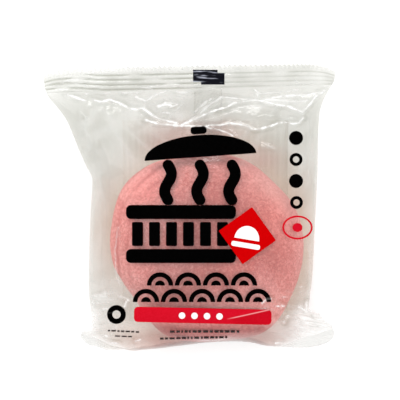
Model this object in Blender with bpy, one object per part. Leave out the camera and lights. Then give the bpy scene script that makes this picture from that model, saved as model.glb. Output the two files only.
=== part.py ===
"""A steamed bun sealed in a clear pillow pack, lying on its back with the printed front up.

The pack is one closed solid: a tube of film over a round bun, pressed flat at both ends into
crimped seals. +X runs across the pack, +Y towards the upper seal, +Z out of the printed front.
The origin is the middle of the outline, on the surface that the pack rests on.
Lengths in the tables are millimetres; Blender gets metres.
"""

import math

import bmesh
import bpy
import numpy as np

MM = 0.001

# The film tube
SEAL_DEPTH = 9.2          # length of a crimped end seal, along the pack
SEAL_LINE_TOP = 45.8      # where the upper seal begins
SEAL_LINE_BOTTOM = -52.8  # where the lower seal begins
SEAL_TILT = 0.027         # the upper seal's line climbs to the right by this slope
CUT_TILT = 0.014          # and its cut edge by this one
TILT_ENDS = 20.0          # below this height the rows are square to the pack again
WAVE_STARTS = -34.0       # below this height the rows take up the wave of the lower edge
HALF_EDGE = 0.3           # half the thickness of the seals and of the side folds
UPPER_SEAL_DROOP = 0.10   # the upper seal falls by this slope towards its cut edge
TOP_ROUND = 2.0           # roundness of the front across the pack
BACK_ROUND = 3.2          # roundness of the back across the pack

# The bun inside, which the front film lies on
BUN_CENTRE = (7.1, -14.6)
BUN_RADII = (37.5, 36.0)
BUN_WAIST = 13.0          # height of its widest line
BUN_HEIGHT = 33.0
BUN_ROUND = 2.4
FILM_GAP = 0.5            # from the bun to the outside of the solid
BLEND = 0.8               # how softly the film lifts off the bun

# The long seam on the back, folded flat to one side
FIN_LEFT, FIN_RIGHT = 1.8, 12.8
FIN_THICK = 0.5
FIN_STEP = 0.3            # width of the slope at its edges

# Curves down the pack, as (y, value)
LEFT_EDGE = [
    (45.8, -55.1), (44.3, -54.3), (40.4, -51.2), (34.7, -47.4), (28.9, -45.0), (24.3, -43.3),
    (16.6, -40.0), (10.8, -37.4), (-5.0, -38.2), (-28.0, -38.7), (-38.0, -38.1), (-44.0, -37.4),
    (-49.0, -37.5), (-51.0, -38.9), (-52.8, -41.2),
]
RIGHT_EDGE = [
    (45.8, 54.9), (42.9, 53.1), (40.0, 51.6), (37.9, 50.8), (35.9, 50.3), (28.1, 49.8),
    (16.6, 49.6), (-6.5, 48.5), (-27.7, 47.4), (-35.4, 46.4), (-39.8, 46.2), (-41.6, 48.6),
    (-42.8, 50.3), (-45.0, 50.9), (-48.2, 52.4), (-52.0, 55.0), (-52.8, 55.2),
]
CROWN = [
    (46.0, 9.4), (43.0, 12.2), (40.0, 15.4), (36.0, 18.8), (30.0, 22.2), (22.0, 25.8),
    (12.0, 29.6), (0.0, 32.8), (-13.0, 34.0), (-26.0, 33.4), (-35.0, 31.4), (-42.0, 28.4),
    (-47.0, 24.6), (-50.0, 20.0), (-52.0, 15.0), (-52.8, 11.8),
]
KEEL = [
    (46.0, 8.8), (40.0, 6.0), (32.0, 3.0), (24.0, 0.8), (18.0, -0.8), (0.0, -2.0), (-30.0, -2.0),
    (-42.0, -1.0), (-46.0, 2.0), (-50.0, 7.0), (-52.8, 10.8),
]
SIDE_HEIGHT = [(46.0, 9.1), (30.0, 9.4), (10.0, 10.0), (-30.0, 10.5), (-45.0, 11.0), (-52.8, 11.3)]

# Curves across the pack, as (x, value)
UPPER_SEAL_LIFT = [(-56.0, -1.6), (-30.0, 0.5), (0.0, 0.0), (30.0, 0.4), (56.0, 1.8)]
LOWER_WAVE = [
    (-41.2, 5.1), (-34.3, 2.3), (-30.4, 0.3), (-26.6, -0.7), (-22.7, -1.8), (-15.0, -1.4),
    (-3.5, -0.1), (10.0, 1.4), (17.7, 1.6), (23.5, 1.2), (31.2, -0.2), (35.0, 0.1), (42.7, 2.6),
    (49.7, 4.8), (55.2, 6.7),
]
LOWER_SEAL_FOLD = [
    (-41.2, 58.0), (-36.0, 62.0), (-30.0, 72.0), (-22.0, 90.0), (0.0, 97.0), (26.0, 95.0),
    (34.0, 84.0), (42.0, 64.0), (48.0, 52.0), (55.2, 48.0),
]
CUT_EDGE = [
    (-56.0, -2.6), (-52.0, -1.0), (-44.0, -0.2), (0.0, 0.1), (44.0, 0.15), (51.0, -0.6), (56.6, -3.0),
]

# How far the ends of a seal's rows lie beyond the seal line's own, as (distance out, widening)
UPPER_SEAL_LEFT = [(0.0, 0.0), (3.0, 0.8), (9.2, 1.2)]
UPPER_SEAL_RIGHT = [(0.0, 0.0), (3.0, 1.0), (9.2, 1.4)]
LOWER_SEAL_LEFT = [(0.0, 0.0), (3.0, 0.6), (6.1, 0.0), (9.2, -2.0)]
LOWER_SEAL_RIGHT = [(0.0, 0.0), (3.0, 0.7), (6.1, 0.3), (9.2, -1.5)]

# Sharp folds in the front film, as (height of the ridge, reach of its slopes, points)
FOLDS = [
    (1.5, 3.2, [
        (-45.8, 44.0), (-31.2, 41.2), (-21.0, 37.6), (-14.2, 33.4), (-2.7, 32.0), (9.2, 30.6),
    ]),
    (1.6, 3.4, [
        (-2.7, 32.3), (8.1, 37.7), (21.6, 41.4), (30.0, 41.0), (43.9, 37.0), (49.0, 42.6),
    ]),
    (1.1, 2.6, [(8.1, 31.2), (16.6, 34.3), (26.0, 30.4), (35.8, 33.1), (43.9, 36.6)]),
]
FOLD_BLUNT = 0.5          # radius at the top of a fold
FOLD_FADE = 3.0           # how soon a fold reaches its full height, in from the side

# The mesh: columns across, and rows along the body and each seal
COLUMNS = 41
FIN_COLUMNS = 4
BODY_ROWS = 34
SEAL_ROWS = 3
CROWN_SAMPLES = 600       # points along the crown, to space the rows by


def curve(points, at):
    """A smooth curve through the points, level at each high and low point, read at one or many places."""
    place, value = np.array(sorted(points), float).T
    step = np.diff(place)
    slope = np.diff(value) / step
    turn = slope[:-1] * slope[1:] > 0
    weight_a = 2 * step[1:] + step[:-1]
    weight_b = step[1:] + 2 * step[:-1]
    safe = [np.where(turn, s, 1.0) for s in (slope[:-1], slope[1:])]
    mean = (weight_a + weight_b) / (weight_a / safe[0] + weight_b / safe[1])
    tangent = np.concatenate([[slope[0]], np.where(turn, mean, 0.0), [slope[-1]]])
    at = np.clip(np.asarray(at, float), place[0], place[-1])
    k = np.clip(np.searchsorted(place, at) - 1, 0, len(step) - 1)
    t = (at - place[k]) / step[k]
    rise = value[k] + t * t * (3 - 2 * t) * (value[k + 1] - value[k])
    return rise + step[k] * t * (1 - t) * ((1 - t) * tangent[k] - t * tangent[k + 1])


def ease(t):
    t = np.clip(t, 0.0, 1.0)
    return t * t * (3 - 2 * t)


def bun_top(x, y):
    """Height of the bun's dome at a point of the plan, or its waist outside it."""
    away = np.hypot((x - BUN_CENTRE[0]) / BUN_RADII[0], (y - BUN_CENTRE[1]) / BUN_RADII[1])
    arch = np.maximum(1 - away**BUN_ROUND, 0.0) ** (1 / BUN_ROUND)
    return BUN_WAIST + (BUN_HEIGHT - BUN_WAIST) * arch


def soft_max(a, b):
    return (a + b + np.sqrt((a - b) ** 2 + BLEND**2)) / 2


def fold_relief(x, y):
    """How far the folds raise the front film."""
    raised = np.zeros_like(x)
    for height, reach, points in FOLDS:
        nearest = np.full_like(x, 1e9)
        for (ax, ay), (bx, by) in zip(points, points[1:]):
            dx, dy = bx - ax, by - ay
            t = np.clip(((x - ax) * dx + (y - ay) * dy) / (dx * dx + dy * dy), 0, 1)
            nearest = np.minimum(nearest, np.hypot(x - ax - t * dx, y - ay - t * dy))
        raised = np.maximum(raised, height * np.exp(-np.sqrt(nearest**2 + FOLD_BLUNT**2) / reach))
    return raised


def body_stations():
    """Row positions down the body, evenly spaced along the front film's own length."""
    y = np.linspace(SEAL_LINE_TOP, SEAL_LINE_BOTTOM, CROWN_SAMPLES)
    run = np.concatenate([[0], np.cumsum(np.hypot(np.diff(y), np.diff(curve(CROWN, y))))])
    return np.interp(np.linspace(0, run[-1], BODY_ROWS + 1), run, y)


def front_columns(left, right):
    """Places across one row of the front film, closer together towards the side folds."""
    u = np.sin(np.linspace(-math.pi / 2, math.pi / 2, COLUMNS))
    return left + (right - left) * (u + 1) / 2


def back_columns(left, right):
    """Places across one row of the back film, with a pair at each edge of the long seam."""
    outer = (COLUMNS - FIN_COLUMNS) // 2 + 1
    eased = np.sin(np.linspace(-math.pi / 2, 0, outer)) + 1
    west = left + (FIN_LEFT - FIN_STEP - left) * eased
    fin = np.linspace(FIN_LEFT, FIN_RIGHT, COLUMNS - 2 * outer)
    east = right - (right - FIN_RIGHT - FIN_STEP) * eased[::-1]
    return np.concatenate([west, fin, east])


def row_shift(x, y):
    """How far a row is moved along the pack: the upper seal's tilt and the lower edge's wave."""
    tilt = SEAL_TILT * x * ease((y - TILT_ENDS) / (SEAL_LINE_TOP - TILT_ENDS))
    wave = curve(LOWER_WAVE, x) * ease((WAVE_STARTS - y) / (WAVE_STARTS - SEAL_LINE_BOTTOM))
    return tilt + wave


def seal_lift(x, y):
    """The upper seal's gentle wave, which fades out down the body."""
    return curve(UPPER_SEAL_LIFT, x) * ease((y - TILT_ENDS) / (SEAL_LINE_TOP - TILT_ENDS))


def body_row(y, front):
    """Points of one row of the body's front or back film."""
    left, right = curve(LEFT_EDGE, y), curve(RIGHT_EDGE, y)
    x = front_columns(left, right) if front else back_columns(left, right)
    u = np.abs(2 * (x - left) / (right - left) - 1)
    side = curve(SIDE_HEIGHT, y)
    py = y + row_shift(x, y)
    if front:
        arch = np.maximum(1 - u**TOP_ROUND, 0.0) ** (1 / TOP_ROUND)
        free = side + HALF_EDGE + (curve(CROWN, y) - side - HALF_EDGE) * arch
        free = free + fold_relief(x, py) * ease(FOLD_FADE * arch)
        over = bun_top(x, py) + FILM_GAP
        z = np.where(over > BUN_WAIST + FILM_GAP, soft_max(free, over), free)
    else:
        arch = np.maximum(1 - u**BACK_ROUND, 0.0) ** (1 / BACK_ROUND)
        free = side - HALF_EDGE + (curve(KEEL, y) - side + HALF_EDGE) * arch
        on_fin = (x > FIN_LEFT - FIN_STEP / 2) & (x < FIN_RIGHT + FIN_STEP / 2)
        z = free - FIN_THICK * on_fin
    z = np.maximum(z + seal_lift(x, y), 0.0)
    return np.column_stack([x, py, z])


def upper_seal_row(out, front):
    """Points of one row of the upper seal, out millimetres beyond the seal line."""
    part_out = out / SEAL_DEPTH
    left = curve(LEFT_EDGE, SEAL_LINE_TOP) - curve(UPPER_SEAL_LEFT, out)
    right = curve(RIGHT_EDGE, SEAL_LINE_TOP) + curve(UPPER_SEAL_RIGHT, out)
    x = (front_columns if front else back_columns)(left, right)
    tilt = SEAL_TILT + (CUT_TILT - SEAL_TILT) * part_out
    y = SEAL_LINE_TOP + out + tilt * x + curve(CUT_EDGE, x) * part_out
    z = curve(SIDE_HEIGHT, SEAL_LINE_TOP) - UPPER_SEAL_DROOP * out + curve(UPPER_SEAL_LIFT, x)
    return np.column_stack([x, y, z + (HALF_EDGE if front else -HALF_EDGE)])


def lower_seal_row(out, front):
    """Points of one row of the lower seal, which is folded down and splays at its two corners."""
    left = curve(LEFT_EDGE, SEAL_LINE_BOTTOM) - curve(LOWER_SEAL_LEFT, out)
    right = curve(RIGHT_EDGE, SEAL_LINE_BOTTOM) + curve(LOWER_SEAL_RIGHT, out)
    x = (front_columns if front else back_columns)(left, right)
    fold = np.radians(curve(LOWER_SEAL_FOLD, x))
    half = HALF_EDGE if front else -HALF_EDGE
    y = SEAL_LINE_BOTTOM + row_shift(x, SEAL_LINE_BOTTOM) - out * np.cos(fold) - half * np.sin(fold)
    z = curve(SIDE_HEIGHT, SEAL_LINE_BOTTOM) - out * np.sin(fold) + half * np.cos(fold)
    return np.column_stack([x, y, z])


def sheet(front):
    """All rows of the front or back film, from the upper cut edge to the lower one."""
    rows = [upper_seal_row(SEAL_DEPTH * k / SEAL_ROWS, front) for k in range(SEAL_ROWS, 0, -1)]
    rows += [body_row(y, front) for y in body_stations()]
    rows += [
        lower_seal_row(SEAL_DEPTH * k / SEAL_ROWS, front) for k in range(1, SEAL_ROWS + 1)
    ]
    return np.array(rows) * MM


def add_sheet(bm, points):
    """Lays a grid of faces through the points, and gives its border as a list of edges."""
    verts = [[bm.verts.new(p) for p in row] for row in points]
    faces = [
        bm.faces.new((a[i], a[i + 1], b[i + 1], b[i]))
        for a, b in zip(verts, verts[1:])
        for i in range(len(a) - 1)
    ]
    return [e for f in faces for e in f.edges if len(e.link_faces) == 1]


def film_material():
    material = bpy.data.materials.new("clear_film")
    material.use_nodes = True
    shader = material.node_tree.nodes["Principled BSDF"]
    shader.inputs["Base Color"].default_value = (0.80, 0.42, 0.40, 1.0)
    shader.inputs["Roughness"].default_value = 0.15
    shader.inputs["Metallic"].default_value = 0.0
    return material


def make_pack():
    """The sealed pack with its contents, as one closed solid."""
    bm = bmesh.new()
    border = add_sheet(bm, sheet(front=True)) + add_sheet(bm, sheet(front=False))
    bmesh.ops.bridge_loops(bm, edges=border)
    bmesh.ops.recalc_face_normals(bm, faces=bm.faces)
    mesh = bpy.data.meshes.new("sealed_pack")
    bm.to_mesh(mesh)
    bm.free()
    mesh.shade_smooth()
    mesh.set_sharp_from_angle(angle=math.radians(40))
    mesh.materials.append(film_material())
    pack = bpy.data.objects.new("sealed_pack", mesh)
    bpy.context.scene.collection.objects.link(pack)
    return pack


for leftover in list(bpy.data.objects):
    bpy.data.objects.remove(leftover)
make_pack()
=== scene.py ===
import math

import bpy
import numpy as np
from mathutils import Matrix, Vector
from mathutils.geometry import delaunay_2d_cdt


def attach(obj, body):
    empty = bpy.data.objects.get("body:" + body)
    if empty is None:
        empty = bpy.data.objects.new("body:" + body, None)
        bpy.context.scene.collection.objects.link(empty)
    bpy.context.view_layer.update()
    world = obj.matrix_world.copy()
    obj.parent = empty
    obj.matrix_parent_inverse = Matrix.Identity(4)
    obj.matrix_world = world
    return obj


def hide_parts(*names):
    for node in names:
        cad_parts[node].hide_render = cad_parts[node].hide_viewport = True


# A steamed bun in a clear pillow pack. Every number here is in millimetres unless it says
# otherwise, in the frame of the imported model, and meshes are scaled to metres as they are made.

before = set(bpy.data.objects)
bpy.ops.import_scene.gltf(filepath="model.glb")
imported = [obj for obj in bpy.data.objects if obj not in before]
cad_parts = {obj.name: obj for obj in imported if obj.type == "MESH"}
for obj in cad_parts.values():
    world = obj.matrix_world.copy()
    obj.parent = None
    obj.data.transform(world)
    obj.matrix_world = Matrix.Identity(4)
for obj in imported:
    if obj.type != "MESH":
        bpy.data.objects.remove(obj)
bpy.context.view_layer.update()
MM = 0.001

# The camera looks straight down on the pack. Its scale is in photograph pixels.
CAMERA = (4.2, 3.1, 620.0)
FOCAL_PIXELS = 1584.4
PICTURE = 400
SENSOR = 36.0
FIRST_HEIGHT = 25.0       # of the film, before it is known what a pixel shows
PIXEL_ROUNDS = 8          # of the search for what a pixel shows
ROW_ROUNDS = 12           # of the search for the row that a point of the plan is in

# The film tube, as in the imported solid
SEAL_DEPTH = 9.2
SEAL_LINE_TOP = 45.8
SEAL_LINE_BOTTOM = -52.8
SEAL_TILT = 0.027
CUT_TILT = 0.014
TILT_ENDS = 20.0
WAVE_STARTS = -34.0
HALF_EDGE = 0.06
UPPER_SEAL_DROOP = 0.10
TOP_ROUND = 2.0
BACK_ROUND = 3.2
BUN_CENTRE = (7.1, -14.6)
BUN_RADII = (37.5, 36.0)
BUN_WAIST = 13.0
BUN_HEIGHT = 33.0
BUN_ROUND = 2.4
# Where the bun's outline stands out or in: part of its radius, place and reach in degrees
BUN_BULGES = [
    (0.085, -55.0, 18.0), (0.085, 141.0, 20.0), (-0.060, 213.0, 18.0), (-0.012, 0.0, 24.0),
    (-0.034, 44.0, 15.0), (0.020, -88.0, 14.0), (0.045, -112.0, 14.0), (0.020, 124.0, 9.0),
]
FILM_GAP = 0.42
BLEND = 0.8
BACK_LIFT = 0.32
BACK_BLEND = 0.3

LEFT_EDGE = [
    (45.8, -55.1), (44.3, -54.3), (40.4, -51.2), (34.7, -47.4), (28.9, -45.0), (24.3, -43.3),
    (16.6, -40.0), (10.8, -37.4), (-5.0, -38.2), (-28.0, -38.7), (-38.0, -38.1), (-44.0, -37.4),
    (-49.0, -37.5), (-51.0, -38.9), (-52.8, -41.2),
]
RIGHT_EDGE = [
    (45.8, 54.9), (42.9, 53.1), (40.0, 51.6), (37.9, 50.8), (35.9, 50.3), (28.1, 49.8),
    (16.6, 49.6), (-6.5, 48.5), (-27.7, 47.4), (-35.4, 46.4), (-39.8, 46.2), (-41.6, 48.6),
    (-42.8, 50.3), (-45.0, 50.9), (-48.2, 52.4), (-52.0, 55.0), (-52.8, 55.2),
]
CROWN = [
    (46.0, 9.4), (43.0, 12.2), (40.0, 15.4), (36.0, 18.8), (30.0, 22.2), (22.0, 25.8),
    (12.0, 29.6), (0.0, 32.8), (-13.0, 34.0), (-26.0, 33.4), (-35.0, 31.4), (-42.0, 28.4),
    (-47.0, 24.6), (-50.0, 20.0), (-52.0, 15.0), (-52.8, 11.8),
]
KEEL = [
    (46.0, 8.8), (40.0, 6.0), (32.0, 3.0), (24.0, 0.8), (18.0, -0.8), (0.0, -2.0), (-30.0, -2.0),
    (-42.0, -1.0), (-46.0, 2.0), (-50.0, 7.0), (-52.8, 10.8),
]
SIDE_HEIGHT = [(46.0, 9.1), (30.0, 9.4), (10.0, 10.0), (-30.0, 10.5), (-45.0, 11.0), (-52.8, 11.3)]
UPPER_SEAL_LIFT = [(-56.0, -1.6), (-30.0, 0.5), (0.0, 0.0), (30.0, 0.4), (56.0, 1.8)]
LOWER_WAVE = [
    (-41.2, 5.1), (-34.3, 2.3), (-30.4, 0.3), (-26.6, -0.7), (-22.7, -1.8), (-15.0, -1.4),
    (-3.5, -0.1), (10.0, 1.4), (17.7, 1.6), (23.5, 1.2), (31.2, -0.2), (35.0, 0.1), (42.7, 2.6),
    (49.7, 4.8), (55.2, 6.7),
]
LOWER_SEAL_FOLD = [
    (-41.2, 58.0), (-36.0, 62.0), (-30.0, 72.0), (-22.0, 90.0), (0.0, 97.0), (26.0, 95.0),
    (34.0, 84.0), (42.0, 64.0), (48.0, 52.0), (55.2, 48.0),
]
CUT_EDGE = [
    (-56.0, -2.6), (-52.0, -1.0), (-44.0, -0.2), (0.0, 0.1), (44.0, 0.15), (51.0, -0.6), (56.6, -3.0),
]
UPPER_SEAL_LEFT = [(0.0, 0.0), (3.0, 0.8), (9.2, 1.2)]
UPPER_SEAL_RIGHT = [(0.0, 0.0), (3.0, 1.0), (9.2, 1.4)]
LOWER_SEAL_LEFT = [(0.0, 0.0), (3.0, 0.6), (6.1, 0.0), (9.2, -2.0)]
LOWER_SEAL_RIGHT = [(0.0, 0.0), (3.0, 0.7), (6.1, 0.3), (9.2, -1.5)]

# Broad folds of the front film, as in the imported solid: height, reach, points in millimetres
FOLDS = [
    (1.5, 3.2, [
        (-45.8, 44.0), (-31.2, 41.2), (-21.0, 37.6), (-14.2, 33.4), (-2.7, 32.0), (9.2, 30.6),
    ]),
    (1.6, 3.4, [
        (-2.7, 32.3), (8.1, 37.7), (21.6, 41.4), (30.0, 41.0), (43.9, 37.0), (49.0, 42.6),
    ]),
    (1.1, 2.6, [(8.1, 31.2), (16.6, 34.3), (26.0, 30.4), (35.8, 33.1), (43.9, 36.6)]),
]
FOLD_BLUNT = 0.5
FOLD_FADE = 3.0

# Fine creases of the front film: height, reach, whiteness of the painted highlight, points in photograph
# pixels
CREASES = [
    (0.5, 1.1, 0.75, [(66, 94), (74, 97), (80, 99), (86, 101)]),
    (0.5, 1.0, 0.95, [
        (94, 100), (100, 102), (106, 101), (110, 99.5), (116, 102), (122, 104), (128, 108),
        (136, 109.5), (142, 108), (147, 111), (153, 116), (160, 119), (168, 121), (177, 123),
    ]),
    (0.5, 1.0, 0.9, [(146, 120), (158, 124), (176, 125.5), (190, 126), (204, 126.5)]),
    (0.6, 1.0, 1.0, [
        (182, 125), (196, 119), (206, 114), (216, 110), (226, 107.5), (234, 103), (243, 102),
        (256, 100), (262, 101), (276, 104.5), (288, 106.5), (296, 110), (303, 112.5),
    ]),
    (0.6, 1.0, 0.9, [(303, 112.5), (307, 107), (311, 103), (315, 97), (324, 91)]),
    (0.5, 0.9, 1.0, [
        (204, 126.5), (212, 125), (220, 125), (230, 123), (238, 124), (246, 126), (254, 129.5),
        (262, 128.5), (270, 126.5), (278, 123), (286, 122.5), (294, 124), (299, 123), (303, 118),
    ]),
    (0.4, 0.9, 0.8, [(204, 127), (212, 128.5), (220, 130), (228, 133), (233, 136)]),
    (0.4, 2.4, 0.60, [(222, 97), (212, 103), (206, 108), (198, 115), (190, 121)]),
    (0.3, 1.0, 0.60, [(214, 97), (206, 102), (199, 108), (194, 113)]),
    (0.4, 2.2, 0.55, [(90, 297), (98, 295), (106, 293.5), (114, 294), (122, 297), (130, 300)]),
    (0.3, 1.2, 0.50, [(88, 306), (98, 303), (108, 302)]),
    (0.4, 1.4, 0.4, [(176, 96), (184, 98), (182, 104), (176, 111), (170, 117), (166, 121)]),
    (0.4, 1.2, 0.8, [(86, 94), (96, 91.5), (106, 93), (116, 91.5), (126, 92.5), (140, 91)]),
    (0.4, 1.2, 0.7, [(136, 97), (146, 101), (152, 97), (158, 94), (168, 90)]),
    (0.3, 1.0, 0.6, [(146, 101), (144, 108)]),
    (0.5, 1.5, 1.0, [(159, 106.5), (165, 104.5), (171, 105.5)]),
    (0.3, 0.9, 0.7, [(165, 102.5), (172, 103), (177, 104.5), (170, 107.5)]),
    (0.3, 0.9, 0.6, [(160, 113.5), (166, 112.5), (172, 114)]),
    (0.4, 1.2, 0.8, [(176, 91), (183, 93), (190, 91), (200, 90)]),
    (0.5, 1.8, 0.8, [(272, 98), (284, 96), (296, 95.5), (308, 95), (318, 93)]),
    (0.4, 2.2, 0.55, [(286, 101), (298, 102), (308, 100)]),
    (0.3, 0.9, 0.7, [(255, 90), (259, 93), (257, 98)]),
    (0.3, 0.8, 0.65, [(220, 96.8), (232, 98), (246, 99.8), (260, 100.4)]),
    (0.4, 1.8, 0.45, [(256, 94), (272, 93), (286, 91.5), (298, 89.5)]),
    (0.5, 1.2, 1.0, [(263, 101), (268, 102.5), (272, 103.5)]),
    (0.3, 0.9, 0.8, [(291, 118.5), (295, 119.5)]),
    (0.3, 0.8, 0.5, [(80, 112), (88, 119)]),
    (0.25, 0.7, 0.5, [(229, 318.5), (240, 315.5), (252, 312), (262, 309.5), (270, 306)]),
    (0.4, 0.9, 0.9, [(262, 303), (267, 299), (271, 299)]),
    (0.4, 1.0, 1.0, [(276, 307), (281, 305), (284, 306)]),
    (0.3, 0.8, 0.8, [(289, 306), (293, 306.5)]),
    (0.5, 1.3, 1.0, [(284, 322), (286, 319), (288, 316)]),
    (0.4, 1.2, 0.9, [(276, 343), (281, 342.5)]),
    (0.4, 1.0, 0.9, [(307, 302), (306, 312)]),
    (0.4, 1.1, 0.9, [(124, 307), (126, 302), (128, 300)]),
    (0.3, 1.0, 0.9, [(112, 343), (119, 343)]),
    (0.3, 0.9, 0.9, [(136, 341), (140, 339.5)]),
    (0.3, 0.8, 0.4, [(118, 228), (115, 250), (116, 272), (121, 290)]),
    (0.3, 0.8, 0.5, [(263, 147.5), (269, 146.5), (275, 148)]),
]
CREASE_BLUNT = 0.25
CREASE_LINE = 0.34        # half width of the painted highlight line along a crease
SHADE_OFF = 1.15          # how far from a crease its painted shade flank lies
SHADE_WIDE = 0.65

# The crimped seals
RIB_PITCH = 1.78
RIB_FIRST = 0.55
RIB_END = 6.6
RIB_HEIGHT = 0.34
TOOTH_DEPTH = 0.75
TOOTH_HEIGHT = 0.14
TOOTH_POINTS = 4          # points of a row that one tooth of the cut edge takes
BELOW_SEAL = 1.2          # the creases fade in over this much film below the upper seal line

# How dense the two sheets look, from 0 to 1, film tint with painted shade, and how far the painted
# reflection of the bun's colour spreads
FRONT_SHADE = 0.07
BACK_SHADE = 0.91
BUN_REFLECTION_REACH = (0.20, 0.27)
# Patches of painted light, where the back sheet is lighter: middle, half sizes, powers, how much
BACK_LIT_PATCHES = [
    ((5.0, 36.0), (15.0, 5.0), (2, 2), 0.22),
    ((33.0, 39.4), (15.0, 3.0), (4, 2), 0.42),
    ((-11.0, 40.3), (12.0, 5.5), (4, 4), 0.40),
    ((-32.5, -6.0), (3.2, 22.0), (2, 4), 0.10),
]

# The film's mesh: even numbers, because the back takes every other point
COLUMNS = 256
COLUMN_EASE = 0.35
SEAL_ROWS = 34
BODY_ROWS = 226
DENSE_FROM = 26.0
DENSE_GAIN = 1.9
CROWN_SAMPLES = 2000


def curve(points, at):
    """A smooth curve through the points, level at each high and low point."""
    place, value = np.array(sorted(points), float).T
    step = np.diff(place)
    slope = np.diff(value) / step
    turn = slope[:-1] * slope[1:] > 0
    weight_a = 2 * step[1:] + step[:-1]
    weight_b = step[1:] + 2 * step[:-1]
    safe = [np.where(turn, s, 1.0) for s in (slope[:-1], slope[1:])]
    mean = (weight_a + weight_b) / (weight_a / safe[0] + weight_b / safe[1])
    tangent = np.concatenate([[slope[0]], np.where(turn, mean, 0.0), [slope[-1]]])
    at = np.clip(np.asarray(at, float), place[0], place[-1])
    k = np.clip(np.searchsorted(place, at) - 1, 0, len(step) - 1)
    t = (at - place[k]) / step[k]
    rise = value[k] + t * t * (3 - 2 * t) * (value[k + 1] - value[k])
    return rise + step[k] * t * (1 - t) * ((1 - t) * tangent[k] - t * tangent[k + 1])


def ease(t):
    """A smooth step from 0 to 1."""
    t = np.clip(t, 0.0, 1.0)
    return t * t * (3 - 2 * t)


def bell(t, power=2):
    """1 at nought and lower away from it: the higher the power, the flatter its top."""
    return np.exp(-(t**power))


def spot(x, y, middle, sizes, powers=(2, 2)):
    """A soft spot, 1 in its middle and nearly 0 beyond twice its half sizes."""
    across, along = (x - middle[0]) / sizes[0], (y - middle[1]) / sizes[1]
    return np.exp(-(across ** powers[0]) - along ** powers[1])


def flat_spot(x, y, middle, sizes):
    """A soft oval spot with a flat top."""
    across, along = (x - middle[0]) / sizes[0], (y - middle[1]) / sizes[1]
    return bell(across**2 + along**2)


def wave(turn):
    """A wave from 0 to 1, lowest at nought."""
    return 0.5 - 0.5 * np.cos(turn)


def round_off(u, power):
    """The height of a rounded arch: 1 in its middle, and 0 at its end, where u is 1."""
    return np.maximum(1 - u**power, 0.0) ** (1 / power)


def soft_max(a, b, blend=BLEND):
    return (a + b + np.sqrt((a - b) ** 2 + blend**2)) / 2


def noise(x, y, seed, cells=61):
    """Smooth seeded noise from -1 to 1, one cell to a unit."""
    table = np.random.default_rng(seed).uniform(-1, 1, (cells, cells))
    i, j = np.floor(x).astype(int), np.floor(y).astype(int)
    u, v = x - i, y - j
    u, v = u * u * (3 - 2 * u), v * v * (3 - 2 * v)
    i0, i1, j0, j1 = i % cells, (i + 1) % cells, j % cells, (j + 1) % cells
    low = table[i0, j0] * (1 - u) + table[i1, j0] * u
    high = table[i0, j1] * (1 - u) + table[i1, j1] * u
    return low * (1 - v) + high * v


def ridged(x, y, seed):
    """Thin ridges, from 0 to 1, along the lines where the noise is nought."""
    return np.maximum(1 - 2.6 * np.abs(noise(x, y, seed)), 0.0)


def line_distance(x, y, points):
    """How far points of the plan lie from a line through the given points."""
    nearest = np.full(np.shape(x), 1e9)
    for (ax, ay), (bx, by) in zip(points, points[1:]):
        dx, dy = bx - ax, by - ay
        t = np.clip(((x - ax) * dx + (y - ay) * dy) / (dx * dx + dy * dy), 0, 1)
        nearest = np.minimum(nearest, np.hypot(x - ax - t * dx, y - ay - t * dy))
    return nearest


def ridge(near, height, reach, blunt):
    """Height of a fold at a distance from its line."""
    return height * np.exp(-np.sqrt(near**2 + blunt**2) / reach)


def bun_place(x, y):
    """How far a point lies along the bun's oval, in radii, and how far out, 1 at its edge."""
    across, along = (x - BUN_CENTRE[0]) / BUN_RADII[0], (y - BUN_CENTRE[1]) / BUN_RADII[1]
    return along, np.hypot(across, along)


def bun_turn(x, y):
    """The direction in which a point lies from the bun's middle, in degrees."""
    return np.degrees(np.arctan2(y - BUN_CENTRE[1], x - BUN_CENTRE[0]))


def turn_off(turn, place):
    """How far one direction lies from another, from -180 to 180 degrees."""
    return (turn - place + 180.0) % 360.0 - 180.0


def bun_bulge(turn):
    """How far the bun's outline stands out of its oval in a direction, as a part of its radius."""
    return sum(part * bell(turn_off(turn, place) / reach) for part, place, reach in BUN_BULGES)


def bun_away(x, y):
    """How far out a point of the plan lies, 1 at the bun's own lumpy outline."""
    return bun_place(x, y)[1] / (1 + bun_bulge(bun_turn(x, y)))


def bun_top(x, y):
    """Height of the bun's dome without its lumps."""
    return BUN_WAIST + (BUN_HEIGHT - BUN_WAIST) * round_off(bun_place(x, y)[1], BUN_ROUND)


def row_shift(x, y):
    """How far a row of the film lies from its straight position, towards the upper seal."""
    tilt = SEAL_TILT * x * ease((y - TILT_ENDS) / (SEAL_LINE_TOP - TILT_ENDS))
    sway = curve(LOWER_WAVE, x) * ease((WAVE_STARTS - y) / (WAVE_STARTS - SEAL_LINE_BOTTOM))
    return tilt + sway


def seal_lift(x, y):
    """How far the film is lifted towards the upper seal, which waves gently."""
    return curve(UPPER_SEAL_LIFT, x) * ease((y - TILT_ENDS) / (SEAL_LINE_TOP - TILT_ENDS))


def rib_turn(x, out):
    """Place within the crimp pattern, in radians: the lines run a little higher at the left end."""
    return 2 * math.pi * (out - RIB_FIRST - 1.2 * ease((-30.0 - x) / 18.0)) / RIB_PITCH


def on_ribs(out, end=RIB_END):
    """1 on the part of a seal that has crimp lines, and 0 beyond it."""
    return ease(out / 0.5) * ease((end - out) / 0.6)


def ribs(x, out, seed):
    """Height of the crimp lines pressed into a seal, out millimetres beyond its line."""
    worn = 0.62 + 0.38 * noise(x / 9.0, out / 3.0, seed)
    worn = worn * (1 - 0.62 * ease((x - 14.0) / 14.0))
    teeth = wave(2 * math.pi * x / RIB_PITCH)
    bare = ease((out - RIB_END) / 0.5) * ease((SEAL_DEPTH - out) / 0.5)
    return RIB_HEIGHT * wave(rib_turn(x, out)) * worn * on_ribs(out) + TOOTH_HEIGHT * teeth * bare


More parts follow.
